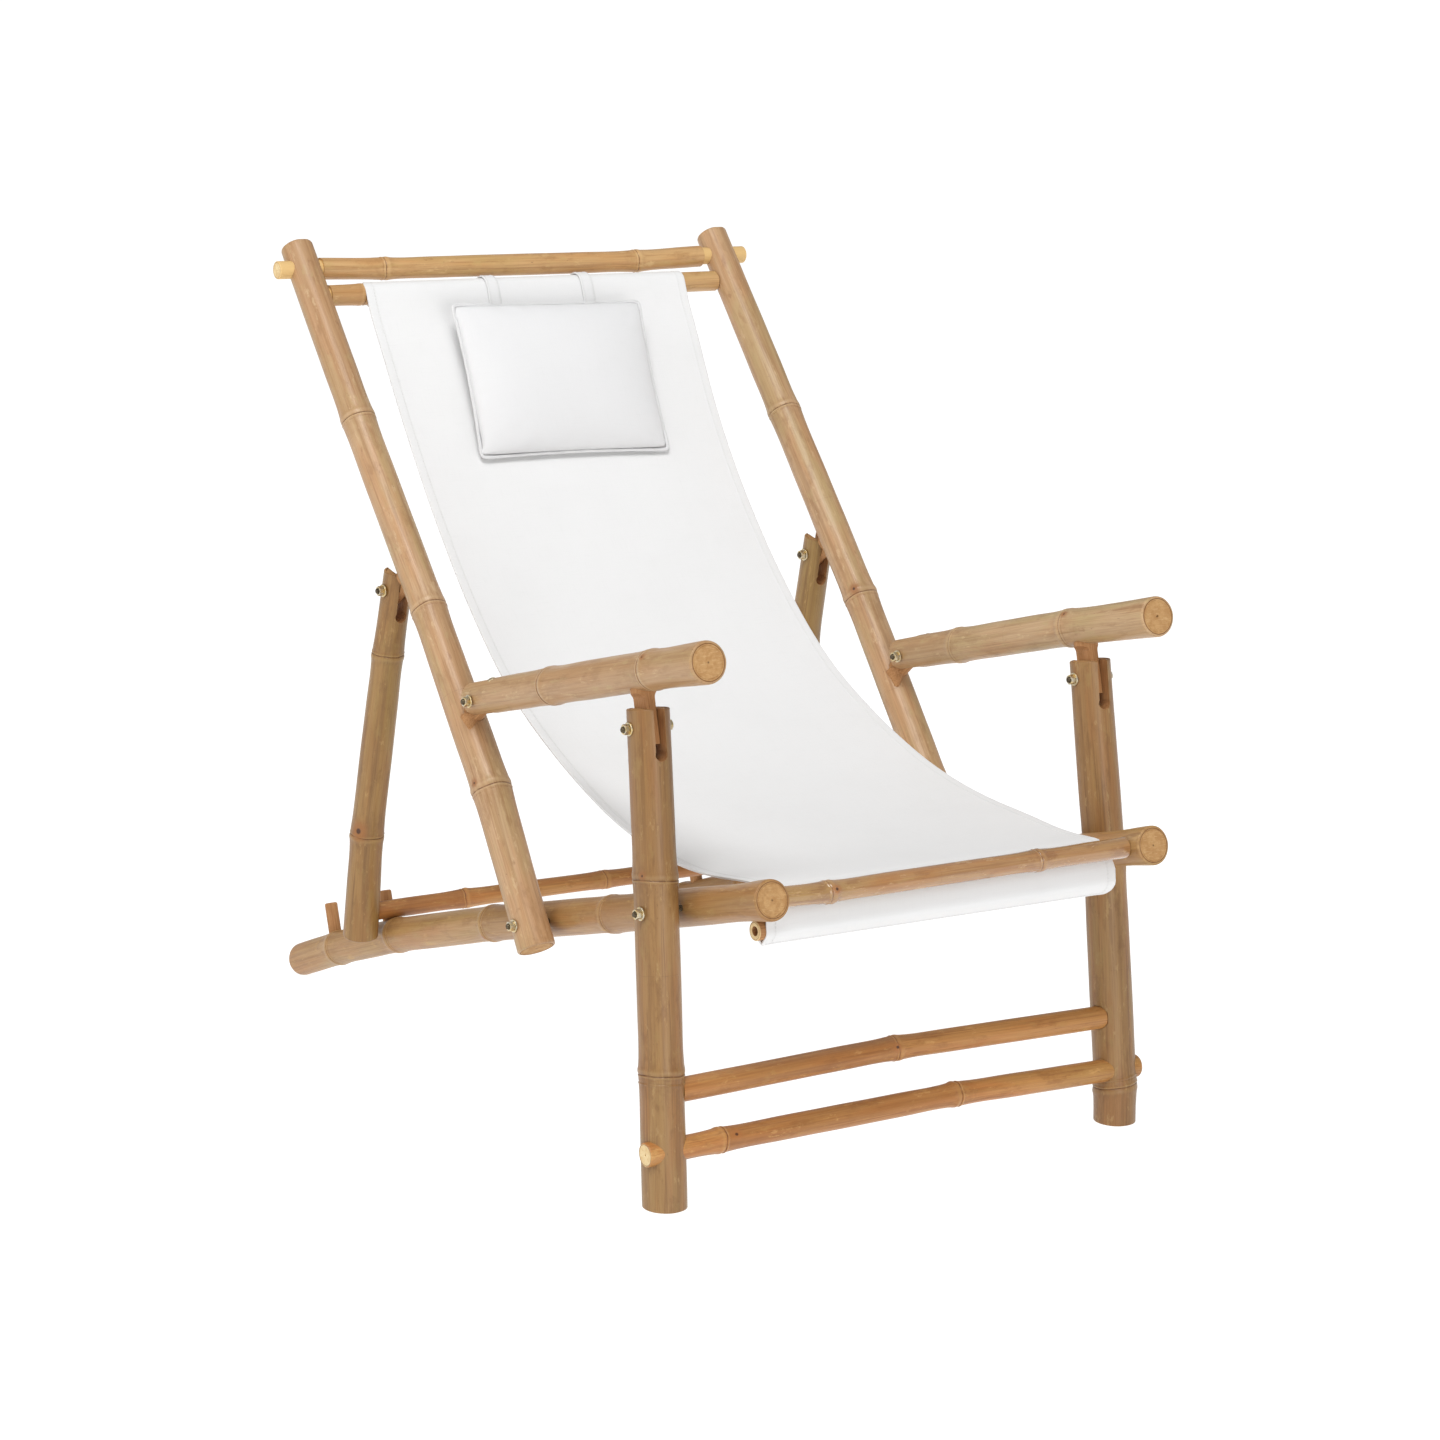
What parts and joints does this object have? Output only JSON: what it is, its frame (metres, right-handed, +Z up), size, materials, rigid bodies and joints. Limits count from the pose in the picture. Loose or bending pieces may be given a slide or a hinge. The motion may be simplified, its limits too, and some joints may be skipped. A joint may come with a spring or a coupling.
{
  "type": "bamboo folding recliner chair",
  "caption": "Folding bamboo deck chair: sloping seat rails, hinged back poles with a rear prop on stop pegs, round armrests, crossbars, a white canvas sling and a strapped head pillow.",
  "frame": {"origin": "on the floor, under the middle of the chair's box as it stands open in its steepest position", "axes": "+Z up, the chair faces -Y, the sitter's right hand is on -X"},
  "size_m": [0.5979, 0.9383, 0.836],
  "materials": {
    "pale_bamboo": "satin",
    "toasted_bamboo": "satin",
    "varnished_bamboo": "gloss",
    "bamboo_dowel": "matte",
    "zinced_steel": "satin",
    "white_canvas": "matte",
    "pillow_cotton": "matte",
    "white_webbing": "matte"
  },
  "bodies": {
    "seat_frame": {"seat_rail_right": "pale_bamboo", "seat_rail_left": "pale_bamboo", "stop_pegs": "bamboo_dowel", "front_crossbar": "varnished_bamboo", "hem_dowel": "bamboo_dowel", "sling_seat_section": "white_canvas", "back_hinge_bolts": "zinced_steel", "back_hinge_washers": "zinced_steel", "back_hinge_nuts": "zinced_steel", "leg_hinge_bolts": "zinced_steel", "leg_hinge_washers": "zinced_steel", "leg_hinge_nuts": "zinced_steel"},
    "back_frame": {"back_pole_right": "pale_bamboo", "back_pole_left": "pale_bamboo", "handle_bar": "pale_bamboo", "canvas_bar": "pale_bamboo", "arm_hinge_stub_right": "bamboo_dowel", "arm_hinge_stub_left": "bamboo_dowel", "prop_hinge_stub_right": "bamboo_dowel", "prop_hinge_stub_left": "bamboo_dowel", "sling_back_section": "white_canvas", "pillow": "pillow_cotton", "pillow_straps": "white_webbing"},
    "front_leg_frame": {"front_leg_right": "toasted_bamboo", "front_leg_left": "toasted_bamboo", "upper_stretcher": "toasted_bamboo", "lower_stretcher": "toasted_bamboo", "arm_post_hinge_bolts": "zinced_steel", "arm_post_hinge_washers": "zinced_steel", "arm_post_hinge_nuts": "zinced_steel"},
    "right_arm": {"armrest_right": "pale_bamboo", "arm_post_right": "bamboo_dowel", "armrest_screw_right": "zinced_steel", "armrest_bolt_right": "zinced_steel", "armrest_washers_right": "zinced_steel", "armrest_nut_right": "zinced_steel"},
    "left_arm": {"armrest_left": "pale_bamboo", "arm_post_left": "bamboo_dowel", "armrest_screw_left": "zinced_steel", "armrest_bolt_left": "zinced_steel", "armrest_washers_left": "zinced_steel", "armrest_nut_left": "zinced_steel"},
    "prop_frame": {"prop_right": "pale_bamboo", "prop_left": "pale_bamboo", "prop_crossbar": "pale_bamboo", "prop_hinge_bolts": "zinced_steel", "prop_hinge_washers": "zinced_steel", "prop_hinge_nuts": "zinced_steel"}
  },
  "joints": [
    {"name": "back_recline", "type": "hinge", "parent": "seat_frame", "child": "back_frame", "pos_m": [0, -0.1003, 0.2079], "axis": [-1, 0, 0], "range_deg": [0, 65]},
    {"name": "front_legs_fold", "type": "hinge", "parent": "seat_frame", "child": "front_leg_frame", "pos_m": [0, -0.3404, 0.282], "axis": [-1, 0, 0], "range_deg": [0, 78.5]},
    {"name": "right_arm_fold", "type": "hinge", "parent": "back_frame", "child": "right_arm", "pos_m": [-0.2654, 0.0004, 0.4158], "axis": [1, 0, 0], "range_deg": [0, 57]},
    {"name": "left_arm_fold", "type": "hinge", "parent": "back_frame", "child": "left_arm", "pos_m": [0.2654, 0.0004, 0.4158], "axis": [1, 0, 0], "range_deg": [0, 57]},
    {"name": "prop_swing", "type": "hinge", "parent": "back_frame", "child": "prop_frame", "pos_m": [0, 0.1855, 0.4953], "axis": [1, 0, 0], "range_deg": [0, 129.5]}
  ],
  "couplings": [
    {"joint": "front_legs_fold", "follows": "back_recline", "ratio": 1.2},
    {"joint": "right_arm_fold", "follows": "back_recline", "ratio": 0.868},
    {"joint": "left_arm_fold", "follows": "back_recline", "ratio": 0.868},
    {"joint": "prop_swing", "follows": "back_recline", "ratio": 1.98}
  ]
}
